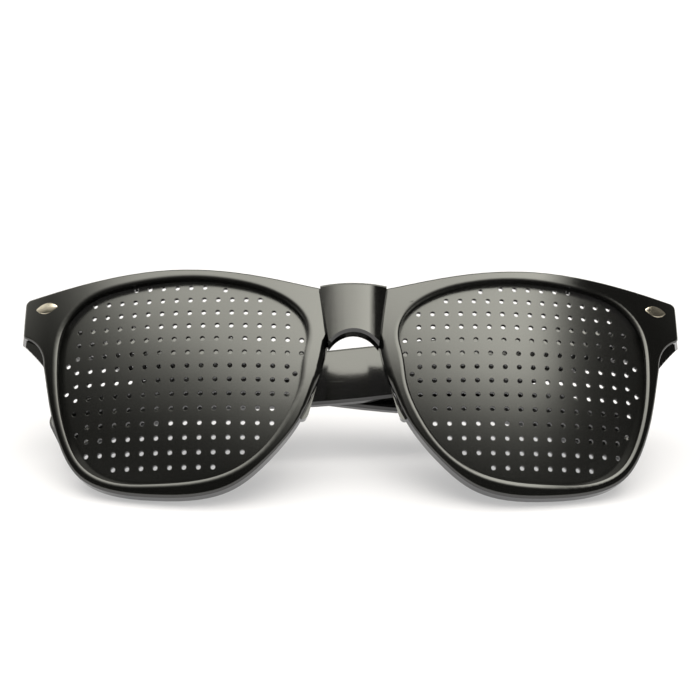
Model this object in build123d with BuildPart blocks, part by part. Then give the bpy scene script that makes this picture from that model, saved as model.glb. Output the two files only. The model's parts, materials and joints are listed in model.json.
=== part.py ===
from build123d import *
import math
import os

# Pinhole glasses, folded and standing on a table. Each piece is modelled upright: X runs across the
# front, to the right of someone who faces the glasses, Y runs back from the front, Z up along it.
# The origin is between the two lenses. Left and right are the wearer's, so left is the +X side.
# At the end all pieces are leaned back together into the pose in which the folded glasses stand.
# All lengths are in millimetres and all angles in degrees.

# Front
half_width = 72.4
front_height = 49.2
lens_radius = 110.0
lens_middle_x = 25.5
face_proud = 2.2
front_wall = 4.2
edge_bevel = 0.6
opening_bevel = 0.6
end_corner_round = 1.3
cut_reach = 24.0

# Lenses
lens_thickness = 1.0
lens_clearance = 0.05
groove_depth = 0.8
hole_width = 1.15
hole_sides = 4
hole_pitch = 3.0
first_hole_x = 25.98
first_hole_z = -3.07
sheet_middle_x = 36.7
sheet_middle_z = -8.6
sheet_reach = 30.0
sheet_steps = 8
sheet_tolerance = 0.001

# Bridge
bridge_radius = 16.0
bridge_step = 0.35
bridge_wall = 4.1
bridge_half_top = 7.2
bridge_half_foot = 5.3

# Nose pads, moulded on the back of the front
pad_length = 15.0
pad_width = 3.0
pad_reach = 2.8
pad_root = 1.4
pad_x = 9.3
pad_z = -9.9
pad_lean = 15.0
pad_taper = 8.0
pad_crest_bevel = 0.5

# End pieces, and the inlay that dresses each one
end_depth = 4.6
end_flare = 0.9
end_inner_x = 60.2
end_margin = 1.0
end_bevel = 0.35
inlay_length = 5.2
inlay_height = 2.6
inlay_crown = 0.25
inlay_seat = 0.8
inlay_x = 66.9
inlay_z = 9.0
inlay_tilt = 1.0

# Hinges
hinge_x = 68.6
hinge_z = 6.2
hinge_stand_off = 2.5
knuckle_radius = 1.25
knuckle_height = 1.7
knuckle_gap = 0.06
leaf_thickness = 1.0
leaf_length = 6.2
leaf_height = 5.4
leaf_clearance = 0.03
leaf_shift = 0.4
leaf_corner = 0.8
screw_radius = 0.7
screw_clearance = 0.05
screw_head_radius = 1.15
screw_head_height = 0.6
screw_slot_width = 0.3
screw_slot_depth = 0.25

# Temples
temple_length = 136.0
temple_height = 31.2
temple_wall = 2.9
temple_tip_wall = 2.3
temple_straight = 8.0
temple_curve = 8.0
temple_inset = 1.5
butt_gap = 0.1
temple_edge_bevel = 0.6
tip_round = 3.0
left_fold = 2.3
right_fold = 5.2
open_splay = 4.0

# How finely the standing pose is worked out, as a length and as an angle in radians
stand_tolerance = 0.05
lean_tolerance = 0.00001

# Steps round the lens opening when its outline is grown or shrunk
opening_steps = 20

# How an edge's heading is read: halfway along it, and the share of it that makes it run along an axis
edge_middle = 0.5
mostly = 0.9

# Sizes that follow from the ones above
face_radius = lens_radius + face_proud
back_radius = face_radius - front_wall
knuckle_pitch = knuckle_height + knuckle_gap
hole_turn = 2 * math.pi / hole_sides
hole_radius = hole_width / 2 * math.sqrt(hole_turn / math.sin(hole_turn))
butt_reach = hinge_stand_off - butt_gap


def curve_y(x, z, radius):
    # How far back a sphere about the middle of the lens's curve lies at this place.
    return lens_radius - math.sqrt(radius**2 - (x - lens_middle_x) ** 2 - z**2)


end_rear_y = curve_y(half_width, hinge_z, face_radius) + end_depth
hinge_y = end_rear_y + hinge_stand_off


# Outlines of the front, as shares of its half width and of its height, from the middle outwards
brow_shares = [
    (0.066, 0.232),
    (0.100, 0.238),
    (0.199, 0.264),
    (0.378, 0.307),
    (0.552, 0.321),
    (0.751, 0.297),
    (0.883, 0.268),
    (1.000, 0.241),
]
end_foot_share = (0.994, 0.056)
sweep_middle_share = (0.945, 0.010)
sweep_foot_share = (0.917, -0.090)
rim_shares = [
    sweep_foot_share,
    (0.890, -0.262),
    (0.851, -0.440),
    (0.788, -0.581),
    (0.686, -0.652),
    (0.562, -0.677),
    (0.445, -0.676),
    (0.345, -0.637),
    (0.249, -0.530),
    (0.166, -0.383),
    (0.114, -0.230),
    (0.078, -0.020),
]
stub_shares = [(0.066, 0.060)]
opening_shares = [
    (0.138, -0.041),
    (0.145, 0.083),
    (0.170, 0.143),
    (0.205, 0.181),
    (0.297, 0.235),
    (0.392, 0.263),
    (0.533, 0.273),
    (0.676, 0.250),
    (0.775, 0.213),
    (0.828, 0.154),
    (0.864, 0.075),
    (0.875, -0.016),
    (0.871, -0.154),
    (0.857, -0.288),
    (0.827, -0.425),
    (0.779, -0.538),
    (0.739, -0.581),
    (0.665, -0.616),
    (0.555, -0.624),
    (0.461, -0.617),
    (0.376, -0.591),
    (0.306, -0.540),
    (0.249, -0.467),
    (0.206, -0.381),
    (0.174, -0.288),
    (0.152, -0.184),
]
bridge_top_share = 0.242
bridge_arch_share = 0.041
bridge_foot_share = -0.020

# Rows of holes: row number below the first row, then the first and the last column of that row
hole_rows = [
    (-5, 2, 7),
    (-4, -2, 10),
    (-3, -4, 10),
    (-2, -4, 11),
    (-1, -5, 11),
    (0, -5, 11),
    (1, -4, 11),
    (2, -4, 11),
    (3, -4, 11),
    (4, -3, 11),
    (5, -3, 10),
    (6, -2, 10),
    (7, -1, 10),
    (8, 1, 8),
]
# Odd holes between the grid and the rim, as shares of the half width and of the front's height
odd_hole_shares = [
    (0.843, -0.092),
    (0.843, -0.216),
    (0.170, -0.155),
    (0.380, 0.228),
    (0.804, -0.398),
]

# Side view of a temple, as shares of its length behind the hinge and of its height
temple_top_shares = [
    (-0.019, 0.330),
    (0.059, 0.330),
    (0.147, 0.311),
    (0.294, 0.256),
    (0.441, 0.183),
    (0.588, 0.103),
    (0.699, 0.032),
    (0.772, -0.032),
    (0.846, -0.128),
    (0.941, -0.282),
    (1.000, -0.404),
]
temple_tip_shares = [(1.000, -0.404), (0.966, -0.670)]
temple_under_shares = [
    (0.966, -0.670),
    (0.897, -0.571),
    (0.846, -0.484),
    (0.772, -0.378),
    (0.699, -0.327),
    (0.588, -0.297),
    (0.441, -0.231),
    (0.294, -0.147),
    (0.176, -0.080),
    (0.088, 0.016),
    (0.029, 0.058),
    (-0.019, 0.064),
]


def front_point(share):
    return (share[0] * half_width, share[1] * front_height)


def temple_point(share):
    return (share[0] * temple_length, share[1] * temple_height)


def hole_places():
    # The grid of holes and the odd ones at its edge, in the plane of the front.
    grid = [
        (first_hole_x + hole_pitch * column, first_hole_z - hole_pitch * row)
        for row, first, last in hole_rows
        for column in range(first, last + 1)
    ]
    return grid + [front_point(share) for share in odd_hole_shares]


# The plane behind the whole front from which its outlines are extruded forwards
behind = Plane.XZ.offset(-cut_reach)
through = 2 * cut_reach


# Front frame: one half of the rim, then the bridge, the end pieces and the nose pads
def outline_of_half():
    # The outline of one half of the front, inside a line builder.
    Spline(*[front_point(share) for share in brow_shares])
    Line(front_point(brow_shares[-1]), front_point(end_foot_share))
    ThreePointArc(
        front_point(end_foot_share),
        front_point(sweep_middle_share),
        front_point(sweep_foot_share),
    )
    Spline(*[front_point(share) for share in rim_shares])
    Polyline(
        front_point(rim_shares[-1]),
        front_point(stub_shares[0]),
        front_point(brow_shares[0]),
    )


opening_curve = Spline(*[front_point(share) for share in opening_shares], periodic=True)


def grown_opening(amount):
    # Points of the opening's outline moved outwards by this much, square to the outline.
    points = []
    for step in range(opening_steps):
        along = step / opening_steps
        place, heading = opening_curve.position_at(along), opening_curve.tangent_at(along)
        points.append((place.X - heading.Y * amount, place.Y + heading.X * amount))
    return points


with BuildSketch(behind) as opening:
    with BuildLine():
        Spline(*grown_opening(0), periodic=True)
    make_face()

with BuildSketch(behind) as groove_outline:
    with BuildLine():
        Spline(*grown_opening(groove_depth), periodic=True)
    make_face()

with BuildSketch(behind) as block_clearance:
    with BuildLine():
        Spline(*grown_opening(end_margin), periodic=True)
    make_face()

with BuildPart() as curved_shell:
    with Locations((lens_middle_x, lens_radius, 0)):
        Sphere(face_radius)
        Sphere(back_radius, mode=Mode.SUBTRACT)

with BuildPart() as groove_shell:
    with Locations((lens_middle_x, lens_radius - lens_clearance, 0)):
        Sphere(lens_radius)
    with Locations((lens_middle_x, lens_radius + lens_thickness + lens_clearance, 0)):
        Sphere(lens_radius, mode=Mode.SUBTRACT)

with BuildPart() as half_rim:
    with BuildSketch(behind) as half_sketch:
        with BuildLine():
            outline_of_half()
        make_face()
        corners = half_sketch.vertices().sort_by(Axis.X)[-2:]
        fillet(corners, end_corner_round)
    extrude(amount=through)
    add(curved_shell.part, mode=Mode.INTERSECT)
    faces = half_rim.faces().filter_by(GeomType.SPHERE)
    rim_edges = [edge for face in faces for edge in face.outer_wire().edges()]
    chamfer(rim_edges, edge_bevel)

# The bridge is a bowed plate that stands a small step proud of both rims
bridge_sagitta = bridge_radius - math.sqrt(bridge_radius**2 - bridge_half_top**2)
bridge_front_y = curve_y(bridge_half_top, 0, face_radius) - bridge_sagitta - bridge_step
with BuildPart() as bridge:
    with BuildSketch(behind):
        with BuildLine():
            bridge_top = bridge_top_share * front_height
            bridge_foot = bridge_foot_share * front_height
            bridge_arch = bridge_arch_share * front_height
            Polyline(
                (-bridge_half_foot, bridge_foot),
                (-bridge_half_top, bridge_top),
                (bridge_half_top, bridge_top),
                (bridge_half_foot, bridge_foot),
            )
            ThreePointArc(
                (bridge_half_foot, bridge_foot),
                (0, bridge_arch),
                (-bridge_half_foot, bridge_foot),
            )
        make_face()
    extrude(amount=through)
    with BuildSketch(Plane.XY.offset(-front_height)):
        with Locations((0, bridge_front_y + bridge_radius)):
            Circle(bridge_radius)
            Circle(bridge_radius - bridge_wall, mode=Mode.SUBTRACT)
        with Locations((0, bridge_front_y)):
            Rectangle(
                2 * bridge_radius,
                bridge_radius,
                align=(Align.CENTER, Align.MIN),
                mode=Mode.INTERSECT,
            )
    extrude(amount=2 * front_height, mode=Mode.INTERSECT)
    bridge_middle = bridge.edges().filter_by(lambda edge: abs(edge.center().X) < bridge_step)
    chamfer(bridge_middle, edge_bevel)

with BuildPart() as end_block:
    with BuildSketch(behind):
        with BuildLine():
            block_foot = front_point(sweep_foot_share)
            block_end = (half_width + end_flare, front_point(end_foot_share)[1])
            block_middle = (block_end[0] + front_point(sweep_middle_share)[0]) / 2
            Polyline(
                block_foot,
                (end_inner_x, block_foot[1]),
                (end_inner_x, front_point(brow_shares[-2])[1]),
                front_point(brow_shares[-2]),
                (block_end[0], front_point(brow_shares[-1])[1]),
                block_end,
            )
            ThreePointArc(
                block_end, (block_middle, front_point(sweep_middle_share)[1]), block_foot
            )
        make_face()
    extrude(amount=through)
    with BuildSketch(Plane.XY.offset(-front_height)):
        with BuildLine():
            shell_y = curve_y(end_inner_x, 0, face_radius) + front_wall / 2
            end_y = curve_y(half_width, hinge_z, face_radius) + front_wall / 2
            Polyline(
                (end_inner_x, shell_y),
                (end_inner_x, end_rear_y),
                (block_end[0], end_rear_y),
                (half_width - edge_bevel, end_y),
                close=True,
            )
        make_face()
    extrude(amount=2 * front_height, mode=Mode.INTERSECT)
    extrude(block_clearance.sketch, amount=through, mode=Mode.SUBTRACT)
    chamfer(end_block.faces().sort_by(Axis.Y)[-1].edges(), end_bevel)

# Each nose pad is a slender rib that tapers from its root to its crest.
pad_direction = (math.sin(math.radians(pad_lean)), 0, -math.cos(math.radians(pad_lean)))
pad_root_y = curve_y(pad_x, pad_z, back_radius) - pad_root
pad_foot = Plane(origin=(pad_x, pad_root_y, pad_z), x_dir=pad_direction, z_dir=(0, 1, 0))
with BuildPart() as nose_pad:
    with BuildSketch(pad_foot):
        SlotOverall(pad_length, pad_width)
    extrude(amount=pad_root + pad_reach, taper=pad_taper)
    chamfer(nose_pad.faces().sort_by(Axis.Y)[-1].edges(), pad_crest_bevel)

# The tangent plane of the face under each inlay, and the inlay's almond outline on it
inlay_y = curve_y(inlay_x, inlay_z, face_radius)
inlay_out = Vector(inlay_x - lens_middle_x, inlay_y - lens_radius, inlay_z).normalized()
inlay_along = Vector(math.cos(math.radians(inlay_tilt)), 0, -math.sin(math.radians(inlay_tilt)))
inlay_plane = Plane(origin=(inlay_x, inlay_y, inlay_z), x_dir=inlay_along, z_dir=inlay_out)
inlay_crown_radius = (inlay_height / 2) ** 2 / (2 * inlay_crown)

with BuildSketch(inlay_plane) as inlay_outline:
    with BuildLine():
        inlay_ends = (-inlay_length / 2, 0), (inlay_length / 2, 0)
        ThreePointArc(inlay_ends[0], (0, inlay_height / 2), inlay_ends[1])
        ThreePointArc(inlay_ends[1], (0, -inlay_height / 2), inlay_ends[0])
    make_face()

with BuildPart() as inlay_left:
    extrude(inlay_outline.sketch, amount=inlay_crown)
    extrude(inlay_outline.sketch, amount=-inlay_seat)
    crown_middle = inlay_plane.offset(inlay_crown - inlay_crown_radius)
    crown_end = Plane(
        origin=crown_middle.origin - inlay_plane.x_dir * inlay_length,
        x_dir=inlay_plane.y_dir,
        z_dir=inlay_plane.x_dir,
    )
    with BuildSketch(crown_end):
        Circle(inlay_crown_radius)
    extrude(amount=2 * inlay_length, mode=Mode.INTERSECT)


def box_between(x_range, y_range, z_range):
    # A box given by its limits, inside a part builder.
    middle = [(low + high) / 2 for low, high in (x_range, y_range, z_range)]
    with Locations(tuple(middle)):
        Box(*[high - low for low, high in (x_range, y_range, z_range)])


# Hinge of the left side: its pin is at hinge_x, hinge_y, and its front leaf lies in the end piece
leaf_low, leaf_high = hinge_z - leaf_height / 2, hinge_z + leaf_height / 2
plate_x = hinge_x - leaf_shift - leaf_length / 2, hinge_x - leaf_shift + leaf_length / 2
plate_y = end_rear_y - leaf_thickness, end_rear_y
knuckle_x = hinge_x - knuckle_radius, hinge_x + knuckle_radius
knuckle_rows = [hinge_z - knuckle_pitch, hinge_z, hinge_z + knuckle_pitch]


def knuckle_span(row):
    return row - knuckle_height / 2, row + knuckle_height / 2


with BuildPart() as front_leaf_left:
    for row in (knuckle_rows[0], knuckle_rows[2]):
        low, high = knuckle_span(row)
        box_between(knuckle_x, (plate_y[0], hinge_y), (low, high))
        with BuildSketch(Plane.XY.offset(low)):
            with Locations((hinge_x, hinge_y)):
                Circle(knuckle_radius)
        extrude(amount=knuckle_height)
    box_between(plate_x, plate_y, (leaf_low, leaf_high))
    plate_corners = front_leaf_left.edges().filter_by(Axis.Y)
    plate_corners = [edge for edge in plate_corners if abs(edge.center().X - hinge_x) > knuckle_radius]
    chamfer(plate_corners, leaf_corner)
    with BuildSketch(Plane.XY.offset(leaf_low)):
        with Locations((hinge_x, hinge_y)):
            Circle(screw_radius + screw_clearance)
    extrude(amount=leaf_height, mode=Mode.SUBTRACT)

screw_foot = knuckle_span(knuckle_rows[0])[0]
screw_seat = knuckle_span(knuckle_rows[2])[1]
with BuildPart() as hinge_screw_left:
    with BuildSketch(Plane.XY.offset(screw_foot)):
        with Locations((hinge_x, hinge_y)):
            Circle(screw_radius)
    extrude(amount=screw_seat - screw_foot)
    with BuildSketch(Plane.XY.offset(screw_seat)):
        with Locations((hinge_x, hinge_y)):
            Circle(screw_head_radius)
    extrude(amount=screw_head_height)
    with BuildSketch(Plane.XY.offset(screw_seat + screw_head_height)):
        with Locations((hinge_x, hinge_y)):
            Rectangle(2 * screw_head_radius, screw_slot_width)
    extrude(amount=-screw_slot_depth, mode=Mode.SUBTRACT)

# The groove that holds the lens, cut from the opening's wall
with BuildPart() as groove:
    extrude(groove_outline.sketch, amount=through)
    add(groove_shell.part, mode=Mode.INTERSECT)

with BuildPart() as half_front:
    add(half_rim.part)
    add(end_block.part)
    add(nose_pad.part)
    extrude(opening.sketch, amount=through, mode=Mode.SUBTRACT)
    bevel_faces = half_front.faces().filter_by(GeomType.SPHERE).sort_by(Axis.Y)
    chamfer(bevel_faces[0].inner_wires()[0].edges(), opening_bevel)
    add(groove.part, mode=Mode.SUBTRACT)
    pocket_x = plate_x[0] - leaf_clearance, plate_x[1] + leaf_clearance
    pocket_y = plate_y[0] - leaf_clearance, plate_y[1] + leaf_thickness
    with Locations(((pocket_x[0] + pocket_x[1]) / 2, (pocket_y[0] + pocket_y[1]) / 2, hinge_z)):
        Box(
            pocket_x[1] - pocket_x[0],
            pocket_y[1] - pocket_y[0],
            leaf_height + 2 * leaf_clearance,
            mode=Mode.SUBTRACT,
        )
    extrude(inlay_outline.sketch, amount=-inlay_seat, mode=Mode.SUBTRACT)

with BuildPart() as front_frame:
    add(half_front.part)
    mirror(half_front.part, about=Plane.YZ)
    add(bridge.part)

with BuildPart() as inlay_right:
    mirror(inlay_left.part, about=Plane.YZ)

with BuildPart() as front_leaf_right:
    mirror(front_leaf_left.part, about=Plane.YZ)

with BuildPart() as hinge_screw_right:
    mirror(hinge_screw_left.part, about=Plane.YZ)


def spread(low, high):
    # Evenly spaced places from low to high.
    return [low + (high - low) * step / sheet_steps for step in range(sheet_steps + 1)]


# Lenses: a curved sheet with a grid of small straight holes
with BuildSketch(behind) as lens_outline:
    with BuildLine():
        Spline(*grown_opening(groove_depth - lens_clearance), periodic=True)
    make_face()
    with Locations(*hole_places()):
        RegularPolygon(hole_radius, hole_sides, mode=Mode.SUBTRACT)

# The curved sheet is one smooth surface through a net of points, made as thick as the lens
sheet_points = [
    [
        Vector(x, curve_y(x, z, lens_radius), z)
        for z in spread(sheet_middle_z - sheet_reach, sheet_middle_z + sheet_reach)
    ]
    for x in spread(sheet_middle_x - sheet_reach, sheet_middle_x + sheet_reach)
]
sheet_face = Face.make_surface_from_array_of_points(sheet_points, tol=sheet_tolerance)
lens_sheet = Solid.extrude(sheet_face, Vector(0, lens_thickness, 0))

with BuildPart() as pinhole_lens_left:
    extrude(lens_outline.sketch, amount=through)
    add(lens_sheet, mode=Mode.INTERSECT)

with BuildPart() as pinhole_lens_right:
    mirror(pinhole_lens_left.part, about=Plane.YZ)


# Temple in its own frame: the Z axis is the hinge's, X runs along the temple to its tip, and the
# wearer's side faces -Y
splay = math.radians(open_splay)


def butt_x(out):
    # Where the front end lies, at this distance out from the axis, to meet the end piece when open.
    return (out * math.sin(splay) - butt_reach) / math.cos(splay)


def runs_along_side(edge):
    # Whether an edge bounds the temple's side, and isn't one across its thickness or its butt face.
    heading = edge.tangent_at(edge_middle)
    across = abs(heading.Y) > mostly
    upright = edge.geom_type == GeomType.LINE and abs(heading.Z) > mostly
    return not across and not upright


with BuildPart() as temple:
    with BuildSketch(Plane.XY.offset(-temple_height)):
        with BuildLine():
            outer = temple_inset + temple_wall
            tip_inner = temple_inset - temple_curve
            tip_outer = tip_inner + temple_tip_wall
            overrun = temple_length + tip_round
            Line((butt_x(temple_inset), temple_inset), (temple_straight, temple_inset))
            TangentArc((temple_straight, temple_inset), (overrun, tip_inner), tangent=(1, 0))
            Line((overrun, tip_inner), (overrun, tip_outer))
            TangentArc((temple_straight, outer), (overrun, tip_outer), tangent=(1, 0))
            Line((temple_straight, outer), (butt_x(outer), outer))
            Line((butt_x(outer), outer), (butt_x(temple_inset), temple_inset))
        make_face()
    extrude(amount=2 * temple_height)
    with BuildSketch(behind) as side_view:
        with BuildLine():
            Spline(*[temple_point(share) for share in temple_top_shares])
            Line(*[temple_point(share) for share in temple_tip_shares])
            Spline(*[temple_point(share) for share in temple_under_shares])
            Line(temple_point(temple_under_shares[-1]), temple_point(temple_top_shares[0]))
        make_face()
        fillet(side_view.vertices().sort_by(Axis.X)[-2:], tip_round)
    extrude(amount=through, mode=Mode.INTERSECT)
    long_edges = [edge for edge in temple.edges() if edge.center().X > 0 and runs_along_side(edge)]
    chamfer(long_edges, temple_edge_bevel)
    leaf_x = -knuckle_radius, leaf_length - knuckle_radius
    leaf_y = temple_inset, temple_inset + leaf_thickness
    with Locations(((leaf_x[0] + leaf_x[1]) / 2, temple_inset + leaf_clearance / 2, hinge_z)):
        Box(
            leaf_x[1] - leaf_x[0] + 2 * leaf_clearance,
            2 * leaf_thickness + leaf_clearance,
            leaf_height + 2 * leaf_clearance,
            mode=Mode.SUBTRACT,
        )

with BuildPart() as temple_leaf:
    low, high = knuckle_span(hinge_z)
    box_between((-knuckle_radius, knuckle_radius), (0, leaf_y[1]), (low, high))
    with BuildSketch(Plane.XY.offset(low)):
        Circle(knuckle_radius)
    extrude(amount=knuckle_height)
    box_between(leaf_x, leaf_y, (leaf_low, leaf_high))
    leaf_corners = [
        edge for edge in temple_leaf.edges().filter_by(Axis.Y)
        if abs(edge.center().Z - hinge_z) > knuckle_height
    ]
    chamfer(leaf_corners, leaf_corner)
    with BuildSketch(Plane.XY.offset(low)):
        Circle(screw_radius + screw_clearance)
    extrude(amount=knuckle_height, mode=Mode.SUBTRACT)

# Each temple and its leaf folded about its hinge: the left one first, the right one over it
fold_right = Pos(-hinge_x, hinge_y, 0) * Rot(0, 0, right_fold)
fold_left = Pos(-hinge_x, hinge_y, 0) * Rot(0, 0, left_fold)

with BuildPart() as temple_right:
    add(fold_right * temple.part)

with BuildPart() as temple_leaf_right:
    add(fold_right * temple_leaf.part)

with BuildPart() as temple_left:
    mirror(fold_left * temple.part, about=Plane.YZ)

with BuildPart() as temple_leaf_left:
    mirror(fold_left * temple_leaf.part, about=Plane.YZ)

front_frame.part.label = "front_frame"
pinhole_lens_left.part.label = "pinhole_lens_left"
pinhole_lens_right.part.label = "pinhole_lens_right"
inlay_left.part.label = "inlay_left"
inlay_right.part.label = "inlay_right"
front_leaf_left.part.label = "front_leaf_left"
front_leaf_right.part.label = "front_leaf_right"
hinge_screw_left.part.label = "hinge_screw_left"
hinge_screw_right.part.label = "hinge_screw_right"
temple_left.part.label = "temple_left"
temple_right.part.label = "temple_right"
temple_leaf_left.part.label = "temple_leaf_left"
temple_leaf_right.part.label = "temple_leaf_right"

pieces = [
    front_frame,
    pinhole_lens_left,
    pinhole_lens_right,
    inlay_left,
    inlay_right,
    front_leaf_left,
    front_leaf_right,
    hinge_screw_left,
    hinge_screw_right,
    temple_left,
    temple_right,
    temple_leaf_left,
    temple_leaf_right,
]

# The folded glasses lean back until the tip of the upper temple meets the table that the rims stand on.
rim_points = front_frame.part.tessellate(stand_tolerance)[0]
tip_points = temple_right.part.tessellate(stand_tolerance)[0]


def lowest(points, lean):
    # Height of the lowest of these points once they are leaned back by this angle.
    return min(p.Z * math.cos(lean) - p.Y * math.sin(lean) for p in points)


least, most = 0.0, math.pi / 2
while most - least > lean_tolerance:
    lean = (least + most) / 2
    if lowest(tip_points, lean) > lowest(rim_points, lean):
        least = lean
    else:
        most = lean

leaned = [Rot(-math.degrees(lean), 0, 0) * piece.part for piece in pieces]
box = Compound(children=leaned).bounding_box()
stand = Pos(-box.center().X, -box.center().Y, -box.min.Z) * Rot(-math.degrees(lean), 0, 0)

os.makedirs("parts", exist_ok=True)
for piece in pieces:
    piece.part.move(stand)

export_step(front_frame.part, "parts/front_frame.step")
export_step(pinhole_lens_left.part, "parts/pinhole_lens_left.step")
export_step(pinhole_lens_right.part, "parts/pinhole_lens_right.step")
export_step(inlay_left.part, "parts/inlay_left.step")
export_step(inlay_right.part, "parts/inlay_right.step")
export_step(front_leaf_left.part, "parts/front_leaf_left.step")
export_step(front_leaf_right.part, "parts/front_leaf_right.step")
export_step(hinge_screw_left.part, "parts/hinge_screw_left.step")
export_step(hinge_screw_right.part, "parts/hinge_screw_right.step")
export_step(temple_left.part, "parts/temple_left.step")
export_step(temple_right.part, "parts/temple_right.step")
export_step(temple_leaf_left.part, "parts/temple_leaf_left.step")
export_step(temple_leaf_right.part, "parts/temple_leaf_right.step")
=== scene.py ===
import json
import math

import bmesh
import bpy
from mathutils import Matrix, Vector


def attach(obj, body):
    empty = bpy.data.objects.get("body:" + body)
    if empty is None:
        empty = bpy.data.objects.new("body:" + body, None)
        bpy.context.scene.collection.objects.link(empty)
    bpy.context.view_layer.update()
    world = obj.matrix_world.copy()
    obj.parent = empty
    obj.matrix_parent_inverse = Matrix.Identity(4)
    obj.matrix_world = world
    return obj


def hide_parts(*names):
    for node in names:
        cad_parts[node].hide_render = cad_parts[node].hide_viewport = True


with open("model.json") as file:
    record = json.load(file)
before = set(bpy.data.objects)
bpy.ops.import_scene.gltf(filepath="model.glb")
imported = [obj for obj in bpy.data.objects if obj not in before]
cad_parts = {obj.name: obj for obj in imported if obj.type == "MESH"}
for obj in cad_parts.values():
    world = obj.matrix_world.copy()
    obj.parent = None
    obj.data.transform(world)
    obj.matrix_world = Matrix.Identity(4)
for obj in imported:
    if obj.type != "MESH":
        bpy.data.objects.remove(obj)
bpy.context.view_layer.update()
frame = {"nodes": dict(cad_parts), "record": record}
print("frame loaded,", len(frame["nodes"]), "nodes")

mm = 0.001


# The glasses are drawn upright, in millimetres, with Z up along the front, and then leaned back as
# they stand.
upright = {
    "hinge": (68.6, 15.36, 6.2),
    "lensMiddleX": 25.5,
    "lensRadius": 110.0,
    "faceRadius": 112.2,
    "backRadius": 108.0,
    "lensThickness": 1.0,
    "halfWidth": 72.4,
    "height": 49.2,
}


def curveDepth(x, z, radius):
    # How far back a ball of this radius lies at this place.
    fromMiddle = abs(x) - upright["lensMiddleX"]
    return upright["lensRadius"] - math.sqrt(radius**2 - fromMiddle**2 - z**2)


def leaning():
    # The hinge axis in the record says how far the glasses lean back and where they stand.
    joints = frame["record"]["behaviour"]["joints"]
    hinge = next(joint for joint in joints if joint["pos_m"][0] < 0)
    lean = math.atan2(hinge["axis"][1], hinge["axis"][2])
    turn = Matrix.Rotation(-lean, 4, "X")
    drawn = Vector(upright["hinge"]) * mm
    drawn.x = -drawn.x
    return Matrix.Translation(Vector(hinge["pos_m"]) - turn @ drawn) @ turn


standing = leaning()


def ballOf(side, radius, depth=0.0):
    # The centre and the radius, in metres, of a ball that shapes the front or a lens.
    middle = Vector((side * upright["lensMiddleX"], upright["lensRadius"] + depth, 0)) * mm
    return standing @ middle, upright[radius] * mm


balls = []
for side in (-1, 1):
    balls.append(ballOf(side, "faceRadius"))
    balls.append(ballOf(side, "backRadius"))
    balls.append(ballOf(side, "lensRadius"))
    balls.append(ballOf(side, "lensRadius", upright["lensThickness"]))


# Shader nodes
class Wire:
    # An output of a shader node that can be added, multiplied and so on.
    def __init__(self, paint, socket):
        self.paint = paint
        self.socket = socket

    def sum(self, operation, *terms, **settings):
        return self.paint.node("ShaderNodeMath", dict(operation=operation, **settings), terms)

    def __add__(self, other):
        return self.sum("ADD", self, other)

    def __radd__(self, other):
        return self.sum("ADD", other, self)

    def __sub__(self, other):
        return self.sum("SUBTRACT", self, other)

    def __rsub__(self, other):
        return self.sum("SUBTRACT", other, self)

    def __mul__(self, other):
        return self.sum("MULTIPLY", self, other)

    def clamped(self):
        return self.sum("ADD", self, 0.0, use_clamp=True)

    def larger(self, other):
        return self.sum("MAXIMUM", self, other)

    def fading(self, first, last):
        # 1 below the first value, 0 above the last one.
        feeds = {"Value": self, "From Min": first, "From Max": last, "To Min": 1.0, "To Max": 0.0}
        return self.paint.node("ShaderNodeMapRange", {}, feeds)

    def ramp(self, stops):
        return self.paint.node("ShaderNodeValToRGB", {"stops": stops}, [self])


class Paint:
    # A node tree with one method that makes its nodes.
    def __init__(self, owner):
        self.owner = owner
        owner.use_nodes = True
        self.tree = owner.node_tree

    def node(self, kind, settings=None, feeds=(), output=0):
        made = self.tree.nodes.new(kind)
        for name, value in (settings or {}).items():
            if name == "stops":
                for index, (place, colour) in enumerate(value):
                    if index > 1:
                        made.color_ramp.elements.new(place)
                    made.color_ramp.elements[index].position = place
                    made.color_ramp.elements[index].color = colour
            else:
                setattr(made, name, value)
        pairs = feeds.items() if isinstance(feeds, dict) else enumerate(feeds)
        for slot, value in pairs:
            self.feed(made.inputs[slot], value)
        return Wire(self, made.outputs[output])

    def feed(self, socket, value):
        if isinstance(value, Wire):
            self.tree.links.new(value.socket, socket)
        else:
            socket.default_value = value

    def shader(self, **values):
        principled = self.tree.nodes["Principled BSDF"]
        for name, value in values.items():
            self.feed(principled.inputs[name.replace("_", " ")], value)

    def place(self):
        return self.node("ShaderNodeTexCoord", {}, [], "Object")

    def scaled(self, scale, turn=(0.0, 0.0, 0.0)):
        feeds = {"Vector": self.place(), "Scale": scale, "Rotation": turn}
        return self.node("ShaderNodeMapping", {}, feeds)

    def noise(self, vector, scale=1.0, detail=2.0, roughness=0.5):
        feeds = {"Vector": vector, "Scale": scale, "Detail": detail, "Roughness": roughness}
        return self.node("ShaderNodeTexNoise", {}, feeds)

    def mix(self, factor, first, second):
        # Sockets 6 and 7 are the two colours, and output 2 the mixed one.
        feeds = {0: factor, 6: first, 7: second}
        return self.node("ShaderNodeMix", {"data_type": "RGBA"}, feeds, 2)

    def bump(self, height, distance, strength=1.0, onto=None):
        feeds = {"Height": height, "Distance": distance, "Strength": strength}
        if onto:
            feeds["Normal"] = onto
        return self.node("ShaderNodeBump", {}, feeds)


def grey(value):
    return (value, value, value, 1.0)


def paintFor(name):
    return Paint(bpy.data.materials.new(name))


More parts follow.
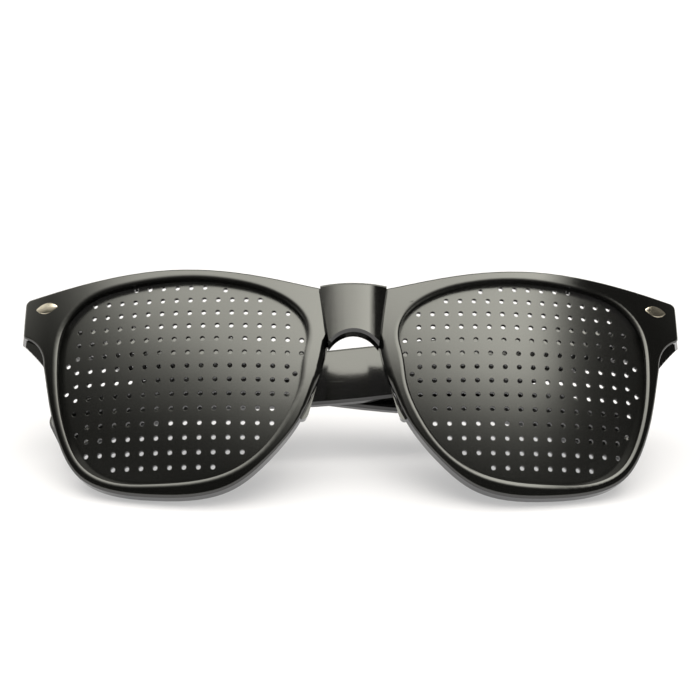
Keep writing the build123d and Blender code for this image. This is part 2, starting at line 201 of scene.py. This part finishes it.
# Black frame plastic
plasticLook = {
    "dark": (0.0022, 0.0022, 0.0022, 1.0),
    "light": (0.0042, 0.0042, 0.0041, 1.0),
    "cloudScale": 60.0,
    "cloudDetail": 3.0,
    "roughness": 0.11,
    "roughnessSpread": 0.06,
    "peelScale": 420.0,
    "peelHeight": 0.000006,
    "scratchScale": (90.0, 2600.0, 2600.0),
    "scratchTurn": (0.0, 0.0, 0.6),
    "scratchFrom": 0.66,
    "scratchFull": 0.72,
    "scratchHeight": 0.0000025,
    "scratchStrength": 0.6,
    "scratchRoughness": 0.05,
    "refraction": 1.8,
}


def framePlastic():
    look = plasticLook
    paint = paintFor("framePlastic")
    cloud = paint.noise(paint.place(), look["cloudScale"], look["cloudDetail"])
    peel = paint.noise(paint.place(), look["peelScale"])
    scratch = paint.noise(paint.scaled(look["scratchScale"], look["scratchTurn"]))
    stops = [(0.0, 0.0), (look["scratchFrom"], 0.0), (look["scratchFull"], 1.0)]
    scuffs = scratch.ramp([(place, grey(level)) for place, level in stops])
    cloudy = look["roughness"] + (cloud - 0.5) * look["roughnessSpread"]
    peeled = paint.bump(peel, look["peelHeight"])
    paint.shader(
        Base_Color=paint.mix(cloud, look["dark"], look["light"]),
        Roughness=cloudy + scuffs * look["scratchRoughness"],
        Normal=paint.bump(scuffs, look["scratchHeight"], look["scratchStrength"], peeled),
        IOR=look["refraction"],
    )
    return paint.owner


# Black lens plastic
lensLook = {
    "dark": (0.0032, 0.0032, 0.0032, 1.0),
    "light": (0.0056, 0.0056, 0.0054, 1.0),
    "cloudScale": 45.0,
    "cloudDetail": 4.0,
    "cloudRoughness": 0.6,
    "roughness": 0.235,
    "roughnessSpread": 0.05,
    "grainScale": 2600.0,
    "grainHeight": 0.000004,
    "grainStrength": 0.7,
    "waveScale": 130.0,
    "waveDetail": 1.0,
    "waveHeight": 0.00002,
    "refraction": 1.8,
}


def lensPlastic():
    look = lensLook
    paint = paintFor("lensPlastic")
    rough = look["cloudRoughness"]
    cloud = paint.noise(paint.place(), look["cloudScale"], look["cloudDetail"], rough)
    grain = paint.noise(paint.place(), look["grainScale"])
    wave = paint.noise(paint.place(), look["waveScale"], look["waveDetail"])
    moulded = paint.bump(wave, look["waveHeight"])
    paint.shader(
        Base_Color=paint.mix(cloud, look["dark"], look["light"]),
        Roughness=look["roughness"] + (cloud - 0.5) * look["roughnessSpread"],
        Normal=paint.bump(grain, look["grainHeight"], look["grainStrength"], moulded),
        IOR=look["refraction"],
    )
    return paint.owner


# Warm inlay metal
inlayLook = {
    "bright": (0.95, 0.89, 0.78, 1.0),
    "brown": (0.66, 0.57, 0.46, 1.0),
    "brushScale": (250.0, 5200.0, 5200.0),
    "brushDetail": 3.0,
    "brushShare": 0.4,
    "stainScale": 900.0,
    "stainShare": 0.6,
    "roughness": 0.16,
    "roughnessSpread": 0.10,
    "brushHeight": 0.000006,
}


def inlayMetal():
    look = inlayLook
    paint = paintFor("inlayMetal")
    brush = paint.noise(paint.scaled(look["brushScale"]), detail=look["brushDetail"])
    stain = paint.noise(paint.place(), look["stainScale"])
    clean = (stain * look["stainShare"] + brush * look["brushShare"]).clamped()
    paint.shader(
        Base_Color=paint.mix(clean, look["brown"], look["bright"]),
        Roughness=look["roughness"] + brush * look["roughnessSpread"],
        Metallic=1.0,
        Normal=paint.bump(brush, look["brushHeight"]),
    )
    return paint.owner


# Nickel of the hinges
hingeLook = {
    "bright": (0.66, 0.64, 0.60, 1.0),
    "dull": (0.44, 0.43, 0.41, 1.0),
    "stainScale": 700.0,
    "stainDetail": 3.0,
    "roughness": 0.26,
    "roughnessSpread": 0.14,
    "grainScale": 4200.0,
    "grainHeight": 0.000004,
}


def hingeMetal():
    look = hingeLook
    paint = paintFor("hingeMetal")
    stain = paint.noise(paint.place(), look["stainScale"], look["stainDetail"])
    grain = paint.noise(paint.place(), look["grainScale"])
    paint.shader(
        Base_Color=paint.mix(stain, look["dull"], look["bright"]),
        Roughness=look["roughness"] + stain * look["roughnessSpread"],
        Metallic=1.0,
        Normal=paint.bump(grain, look["grainHeight"]),
    )
    return paint.owner


materials = {
    "frame_plastic": framePlastic(),
    "lens_plastic": lensPlastic(),
    "inlay_metal": inlayMetal(),
    "hinge_metal": hingeMetal(),
}
print("materials made")


# How pieces are made and shaded: gaps in metres, angles in degrees
shading = {
    "mergeGap": 0.000002,
    "softAngle": 28.0,
    "ballGap": 0.000012,
    "ballLikeness": 0.98,
    "flatLikeness": 0.98,
    "bevelAngle": 61.0,
    "templeTilt": 10.0,
}


def ballUnder(face, touched):
    # The centre of the ball that a face lies on, if it lies on one.
    for index in set.intersection(*[touched[corner] for corner in face.vertices]):
        ray = (face.center - balls[index][0]).normalized()
        if abs(ray.dot(face.normal)) > shading["ballLikeness"]:
            return balls[index][0]
    return None


def setNormals(mesh, tilt):
    # A face on one of the balls is shaded straight out from the ball's centre, and a bevel next to
    # it bends away from that direction. Every other face shares its direction with neighbours that
    # turn little from it, so corners stay crisp.
    soft = math.cos(math.radians(shading["softAngle"]))
    bevel = math.cos(math.radians(shading["bevelAngle"]))
    touched = [
        {
            index
            for index, (centre, radius) in enumerate(balls)
            if abs((vertex.co - centre).length - radius) < shading["ballGap"]
        }
        for vertex in mesh.vertices
    ]
    centres = [ballUnder(face, touched) for face in mesh.polygons]
    around = [[] for _ in mesh.vertices]
    for face, centre in zip(mesh.polygons, centres):
        if centre is None:
            for corner in face.vertices:
                around[corner].append(face)
    normals = []
    for face, centre in zip(mesh.polygons, centres):
        for corner in face.vertices:
            if centre is None:
                near = (other for other in around[corner] if other.normal.dot(face.normal) > soft)
                direction = sum((other.normal * other.area for other in near), Vector())
                for index in touched[corner]:
                    ray = (mesh.vertices[corner].co - balls[index][0]).normalized()
                    if abs(ray.dot(face.normal)) > bevel:
                        direction = ray * (1 if ray.dot(face.normal) > 0 else -1)
            else:
                direction = mesh.vertices[corner].co - centre
                direction = direction * (1 if direction.dot(face.normal) > 0 else -1)
            normals.append(direction.normalized())
    if tilt:
        # The flat side of a folded temple towards the front mirrors as if it leaned upwards.
        turn = standing.to_3x3()
        facing = (turn @ Vector((0, -1, 0))).normalized()
        upwards = (turn @ Vector((0, 0, 1))).normalized() * math.tan(math.radians(tilt))
        for index, normal in enumerate(normals):
            if normal.dot(facing) > shading["flatLikeness"]:
                normals[index] = (normal + upwards).normalized()
    mesh.shade_smooth()
    mesh.normals_split_custom_set(normals)


def addPiece(name, shape, body, slot, *nodes, tilt=0.0):
    # Turns a bmesh into a piece that rides on a body and stands for CAD nodes.
    mesh = bpy.data.meshes.new(name)
    shape.to_mesh(mesh)
    shape.free()
    piece = bpy.data.objects.new(name, mesh)
    bpy.context.scene.collection.objects.link(piece)
    mesh.materials.append(materials[slot])
    setNormals(mesh, tilt)
    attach(piece, body)
    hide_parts(*nodes)


def mergedCopy(node):
    copy = bmesh.new()
    copy.from_mesh(frame["nodes"][node].data)
    bmesh.ops.remove_doubles(copy, verts=copy.verts, dist=shading["mergeGap"])
    return copy


slotOf = {row["node"]: row["material_slot"] for row in frame["record"]["subparts"]}
bodyOf = {
    node: body
    for body, nodes in frame["record"]["behaviour"]["bodies"].items()
    for node in nodes
}


# The front: each opening's bevel is broad on the face, so it catches the light as a line round the
# lens, the edges beside the nose are bevelled deeper, and the bridge's arch reaches further down.
# Millimetres in the upright frame
front = {
    "broaden": 0.5,
    "nearOutline": 1.6,
    "openingMiddle": -8.0,
    "noseBevel": 0.7,
    "noseFrom": (12.0, 9.0),
    "noseTop": (2.0, -1.0),
    "archHalf": 5.0,
    "archEnd": 7.4,
    "archTop": 4.2,
    "archDrop": 1.3,
}


def outlinePlaces():
    return [
        Vector((x * upright["halfWidth"], z * upright["height"])) for x, z in lensPlate["outline"]
    ]


def fromOutline(place, places):
    # How far a place lies from the opening's outline.
    spans = []
    for first, last in zip(places, places[1:] + places[:1]):
        span = last - first
        share = min(max((place - first).dot(span) / span.length_squared, 0.0), 1.0)
        spans.append((place - first - span * share).length)
    return min(spans)


def between(value, limits):
    # 0 at the first limit, 1 at the last one and beyond it.
    return min(max((value - limits[0]) / (limits[1] - limits[0]), 0.0), 1.0)


def lensMiddle(drawn):
    # The middle of the opening on this side.
    z = front["openingMiddle"]
    depth = curveDepth(upright["lensMiddleX"], z, upright["faceRadius"])
    return Vector((math.copysign(upright["lensMiddleX"], drawn.x), depth, z))


def frontPiece(node):
    shape = mergedCopy(node)
    shape.normal_update()
    places = outlinePlaces()
    back = standing.inverted()
    faceBalls = {side: ballOf(side, "faceRadius") for side in (-1, 1)}
    moved = {}
    for vertex in shape.verts:
        drawn = back @ vertex.co / mm
        centre, radius = faceBalls[1 if drawn.x > 0 else -1]
        out = (vertex.co - centre).normalized()
        onFace = abs((vertex.co - centre).length - radius) < shading["ballGap"]
        reach = (front["archEnd"] - abs(drawn.x)) / (front["archEnd"] - front["archHalf"])
        inArch = not onFace or abs(drawn.x) < front["archHalf"]
        if reach > 0 and drawn.z < front["archTop"] and inArch:
            drawn.z -= front["archDrop"] * min(reach, 1.0)
            moved[vertex] = standing @ (drawn * mm)
        elif onFace:
            bevels = [
                face
                for face in vertex.link_faces
                if abs(face.normal.dot(out)) < shading["ballLikeness"]
            ]
            towards = sum((face.normal - face.normal.dot(out) * out for face in bevels), Vector())
            inwards = standing @ (lensMiddle(drawn) * mm) - vertex.co
            near = fromOutline(Vector((abs(drawn.x), drawn.z)), places) < front["nearOutline"]
            broaden = front["broaden"]
            if not near or towards.dot(inwards) < 0:
                broaden = between(abs(drawn.x), front["noseFrom"])
                broaden *= between(drawn.z, front["noseTop"])
                broaden *= front["noseBevel"]
                for corner in {corner for face in bevels for corner in face.verts}:
                    if abs((corner.co - centre).length - radius) > shading["ballGap"]:
                        moved[corner] = corner.co - out * broaden * mm
            if towards.length:
                ray = vertex.co - towards.normalized() * broaden * mm - centre
                moved[vertex] = centre + ray.normalized() * radius
    for vertex, place in moved.items():
        vertex.co = place
    return shape


# Inlays: domed almonds, a hair smaller than their pockets
almond = {
    "middle": (66.9, 9.0),
    "tilt": 1.0,
    "length": 5.2,
    "height": 2.6,
    "sides": 32,
    # Rings from the foot to the crest: how wide, as a share of the almond, and how high
    "rings": [
        (0.95, -0.7),
        (0.95, -0.02),
        (0.84, 0.08),
        (0.64, 0.15),
        (0.38, 0.2),
        (0.12, 0.22),
    ],
}


def inlayPiece(side, name, node):
    look = almond
    half = look["length"] / 2
    tall = look["height"] / 2
    arc = (half**2 + tall**2) / (2 * tall)
    shape = bmesh.new()
    bmesh.ops.create_circle(shape, segments=look["sides"], radius=half)
    for vertex in shape.verts:
        width = math.sqrt(arc**2 - vertex.co.x**2) - (arc - tall)
        vertex.co.y = math.copysign(max(width, 0.0), vertex.co.y)
        vertex.co.z = look["rings"][0][1]
    bmesh.ops.remove_doubles(shape, verts=shape.verts, dist=shading["mergeGap"])
    edges = shape.edges[:]
    share = look["rings"][0][0]
    for nextShare, level in look["rings"][1:]:
        made = bmesh.ops.extrude_edge_only(shape, edges=edges)
        edges = [part for part in made["geom"] if isinstance(part, bmesh.types.BMEdge)]
        ring = [part for part in made["geom"] if isinstance(part, bmesh.types.BMVert)]
        bmesh.ops.scale(shape, vec=(nextShare / share, nextShare / share, 1.0), verts=ring)
        for vertex in ring:
            vertex.co.z = level
        share = nextShare
    openEdges = [edge for edge in shape.edges if edge.is_boundary]
    bmesh.ops.holes_fill(shape, edges=openEdges, sides=0)
    slope = math.tan(math.radians(look["tilt"]))
    for vertex in shape.verts:
        along, across, level = vertex.co
        x = look["middle"][0] + along
        z = look["middle"][1] + across - along * slope
        vertex.co = Vector((side * x, curveDepth(x, z, upright["faceRadius"]) - level, z)) * mm
    bmesh.ops.transform(shape, matrix=standing, verts=shape.verts)
    bmesh.ops.recalc_face_normals(shape, faces=shape.faces)
    addPiece(name, shape, "front", "inlay_metal", node)


inlayPiece(1, "inlay_left_almond", "inlay_left")
inlayPiece(-1, "inlay_right_almond", "inlay_right")
print("inlays made")


# Perforated lenses
lensPlate = {
    "grow": 0.72,
    "outlineSteps": 5,
    "mergeGap": 0.001,
    "holeWidth": 1.0,
    "holeSides": 16,
    "pitch": 3.0,
    "firstX": 25.98,
    "firstZ": -3.07,
    # Rounding of a hole's rim: how much wider than the hole, at which depth
    "rim": [(0.07, 0.0), (0.025, 0.03), (0.0, 0.08), (0.0, 0.5)],
    # Row below the first one, then its first and its last column
    "rows": [
        (-5, 2, 7),
        (-4, -2, 10),
        (-3, -4, 10),
        (-2, -4, 11),
        (-1, -5, 11),
        (0, -5, 11),
        (1, -4, 11),
        (2, -4, 11),
        (3, -4, 11),
        (4, -3, 11),
        (5, -3, 10),
        (6, -2, 10),
        (7, -1, 10),
        (8, 1, 8),
    ],
    # Odd holes and the outline, as shares of the front's half width and of its height
    "oddHoles": [
        (0.843, -0.092),
        (0.843, -0.216),
        (0.170, -0.155),
        (0.380, 0.228),
        (0.804, -0.398),
    ],
    "outline": [
        (0.138, -0.041),
        (0.145, 0.083),
        (0.170, 0.143),
        (0.205, 0.181),
        (0.297, 0.235),
        (0.392, 0.263),
        (0.533, 0.273),
        (0.676, 0.250),
        (0.775, 0.213),
        (0.828, 0.154),
        (0.864, 0.075),
        (0.875, -0.016),
        (0.871, -0.154),
        (0.857, -0.288),
        (0.827, -0.425),
        (0.779, -0.538),
        (0.739, -0.581),
        (0.665, -0.616),
        (0.555, -0.624),
        (0.461, -0.617),
        (0.376, -0.591),
        (0.306, -0.540),
        (0.249, -0.467),
        (0.206, -0.381),
        (0.174, -0.288),
        (0.152, -0.184),
    ],
}


def holePlaces():
    look = lensPlate
    grid = [
        (look["firstX"] + look["pitch"] * column, look["firstZ"] - look["pitch"] * row)
        for row, first, last in look["rows"]
        for column in range(first, last + 1)
    ]
    odd = [(x * upright["halfWidth"], z * upright["height"]) for x, z in look["oddHoles"]]
    return grid + odd


def outlineRing(shape):
    # The lens's edge as a closed smooth curve, a little larger than the opening that it sits in.
    look = lensPlate
    curve = bpy.data.curves.new("lensOutline", "CURVE")
    curve.resolution_u = look["outlineSteps"]
    spline = curve.splines.new("BEZIER")
    spline.bezier_points.add(len(look["outline"]) - 1)
    spline.use_cyclic_u = True
    for point, (x, z) in zip(spline.bezier_points, look["outline"]):
        point.co = (x * upright["halfWidth"], z * upright["height"], 0)
        point.handle_left_type = point.handle_right_type = "AUTO"
    carrier = bpy.data.objects.new("lensOutline", curve)
    bpy.context.scene.collection.objects.link(carrier)
    bpy.context.view_layer.update()
    mesh = bpy.data.meshes.new_from_object(carrier)
    shape.from_mesh(mesh)
    middle = Vector((upright["lensMiddleX"], front["openingMiddle"], 0))
    for vertex in shape.verts:
        ahead, behind = [edge.other_vert(vertex) for edge in vertex.link_edges]
        along = (ahead.co - behind.co).normalized()
        away = Vector((along.y, -along.x, 0))
        vertex.normal = away if away.dot(vertex.co - middle) > 0 else -away
    for vertex in shape.verts:
        vertex.co += vertex.normal * look["grow"]
    bpy.data.objects.remove(carrier)
    bpy.data.curves.remove(curve)
    bpy.data.meshes.remove(mesh)


def lensPiece(side, name, node):
    look = lensPlate
    shape = bmesh.new()
    outlineRing(shape)
    radius = look["holeWidth"] / 2
    holeOf = {}
    for x, z in holePlaces():
        made = bmesh.ops.create_circle(
            shape,
            segments=look["holeSides"],
            radius=radius + look["rim"][0][0],
            matrix=Matrix.Translation((x, z, 0)),
        )
        for vertex in made["verts"]:
            holeOf[vertex] = Vector((x, z, 0))
    bmesh.ops.triangle_fill(shape, use_beauty=True, edges=shape.edges[:], normal=(0, 0, 1))
    edges = [edge for edge in shape.edges if edge.is_boundary and edge.verts[0] in holeOf]
    for wider, depth in look["rim"][1:]:
        made = bmesh.ops.extrude_edge_only(shape, edges=edges)
        edges = [part for part in made["geom"] if isinstance(part, bmesh.types.BMEdge)]
        for vertex in {vertex for edge in edges for vertex in edge.verts}:
            near = [edge.other_vert(vertex) for edge in vertex.link_edges]
            middle = next(holeOf[other] for other in near if other in holeOf)
            away = (vertex.co - middle).xy.normalized() * (radius + wider)
            vertex.co = (middle.x + away.x, middle.y + away.y, depth)
            holeOf[vertex] = middle
    edges = [edge for edge in shape.edges if edge.is_boundary and edge.verts[0] not in holeOf]
    made = bmesh.ops.extrude_edge_only(shape, edges=edges)
    for part in made["geom"]:
        if isinstance(part, bmesh.types.BMVert):
            part.co.z = upright["lensThickness"] / 2
    # The plate's back half mirrors its front half.
    backHalf = bmesh.ops.duplicate(shape, geom=shape.verts[:] + shape.edges[:] + shape.faces[:])
    backVerts = [part for part in backHalf["geom"] if isinstance(part, bmesh.types.BMVert)]
    backFaces = [part for part in backHalf["geom"] if isinstance(part, bmesh.types.BMFace)]
    for vertex in backVerts:
        vertex.co.z = upright["lensThickness"] - vertex.co.z
    bmesh.ops.reverse_faces(shape, faces=backFaces)
    bmesh.ops.remove_doubles(shape, verts=shape.verts, dist=look["mergeGap"])
    for vertex in shape.verts:
        x, z, depth = vertex.co
        vertex.co = Vector((side * x, curveDepth(x, z, upright["lensRadius"]) + depth, z)) * mm
    bmesh.ops.transform(shape, matrix=standing, verts=shape.verts)
    bmesh.ops.recalc_face_normals(shape, faces=shape.faces)
    addPiece(name, shape, "front", "lens_plastic", node)


lensPiece(1, "lens_plate_left", "pinhole_lens_left")
lensPiece(-1, "lens_plate_right", "pinhole_lens_right")
print("lenses made")


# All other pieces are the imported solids, reshaded, and the front reshaped as well
for node in frame["nodes"]:
    if not node.startswith(("pinhole_lens", "inlay")):
        shape = frontPiece(node) if node == "front_frame" else mergedCopy(node)
        tilt = shading["templeTilt"] if node in ("temple_left", "temple_right") else 0.0
        addPiece(node + "_smooth", shape, bodyOf[node], slotOf[node], node, tilt=tilt)
print("front, temples and hinges smoothed")


# Floor, light and camera
stage = {
    "floorSize": 14.0,
    "floorColour": (0.50, 0.49, 0.53, 1.0),
    "floorRoughness": 0.9,
    "floorLift": 0.40,
}


def seenDirectly(paint):
    # 1 for rays of the camera and for mirrored or let-through ones, 0 for light on its way.
    path = paint.node("ShaderNodeLightPath").socket.node
    names = ("Is Camera Ray", "Is Glossy Ray", "Is Transmission Ray")
    camera, glossy, through = [Wire(paint, path.outputs[name]) for name in names]
    return camera.larger(glossy).larger(through)


def makeFloor():
    shape = bmesh.new()
    bmesh.ops.create_grid(shape, x_segments=1, y_segments=1, size=stage["floorSize"] / 2)
    mesh = bpy.data.meshes.new("floor")
    shape.to_mesh(mesh)
    shape.free()
    floor = bpy.data.objects.new("floor", mesh)
    bpy.context.scene.collection.objects.link(floor)
    paint = paintFor("floor")
    paint.shader(
        Base_Color=stage["floorColour"],
        Roughness=stage["floorRoughness"],
        Specular_IOR_Level=0.0,
        Emission_Color=seenDirectly(paint) * stage["floorLift"],
        Emission_Strength=1.0,
    )
    mesh.materials.append(paint.owner)


# The studio is one soft sky: a large panel in front and overhead, whose glow fades downwards and
# ends at the right, pale walls at the sides and behind, and a pale band close to the horizon.
studio = {
    "peak": 4.0,
    "panel": [
        (0.30, 0.004),
        (0.45, 0.018),
        (0.50, 0.032),
        (0.56, 0.055),
        (0.60, 0.085),
        (0.65, 0.15),
        (0.70, 0.27),
        (0.74, 0.46),
        (0.78, 0.67),
        (0.83, 0.87),
        (0.88, 0.97),
        (0.92, 1.0),
    ],
    "colour": (1.0, 0.99, 0.88, 1.0),
    "slant": 0.24,
    "slantLeft": -0.25,
    "rightEdge": (0.41, 0.54),
    "rightGain": 0.6,
    "backEdge": (0.25, 0.5),
    "wallFrom": (-0.25, 0.15),
    "wallTop": (0.55, 0.8),
    "wallLevel": 0.22,
    "wallRight": (0.35, 0.6),
    "wallRightLevel": 0.15,
    "horizon": (0.08, 0.20),
    "horizonLevel": 0.29,
    "gloom": 0.012,
}


def makeSky():
    look = studio
    world = bpy.data.worlds.new("studio")
    bpy.context.scene.world = world
    paint = Paint(world)
    toward = paint.node("ShaderNodeTexCoord", {}, [], "Generated")
    x, y, z = [paint.node("ShaderNodeSeparateXYZ", {}, [toward], axis) for axis in range(3)]
    height = z + x.larger(look["slantLeft"]) * look["slant"]
    panel = height.ramp([(place, grey(level)) for place, level in look["panel"]])
    panel = panel * x.fading(*look["rightEdge"]) * y.fading(*look["backEdge"])
    panel = panel * (x.larger(0.0) * look["rightGain"] + 1.0)
    walls = (1.0 - y.fading(*look["wallFrom"])) * z.fading(*look["wallTop"]) * look["wallLevel"]
    walls = walls * x.fading(*look["wallRight"]).larger(look["wallRightLevel"])
    low = z.fading(*look["horizon"]) * look["horizonLevel"]
    light = panel.larger(walls).larger(low).larger(look["gloom"])
    background = paint.tree.nodes["Background"]
    paint.feed(background.inputs["Color"], look["colour"])
    paint.feed(background.inputs["Strength"], light * look["peak"])


# The camera's place and aim in the upright frame; its nearest and farthest sight in metres
camera = {
    "place": (-5.344, -218.653, -82.931),
    "aim": (-0.644, 5.445, -0.589),
    "roll": -0.131,
    "lens": 56.8,
    "sensor": 36.0,
    "nearest": 0.01,
    "farthest": 50.0,
}


def makeCamera():
    lens = bpy.data.cameras.new("camera")
    lens.lens = camera["lens"]
    lens.sensor_width = camera["sensor"]
    lens.clip_start = camera["nearest"]
    lens.clip_end = camera["farthest"]
    eye = bpy.data.objects.new("camera", lens)
    place = Vector(camera["place"])
    turn = (Vector(camera["aim"]) - place).to_track_quat("-Z", "Y").to_matrix().to_4x4()
    roll = Matrix.Rotation(math.radians(camera["roll"]), 4, "Z")
    eye.matrix_world = standing @ Matrix.Translation(place * mm) @ turn @ roll
    bpy.context.scene.collection.objects.link(eye)
    bpy.context.scene.camera = eye


makeFloor()
makeSky()
makeCamera()
bpy.context.scene.view_settings.view_transform = "Standard"
print("stage, light and camera set")
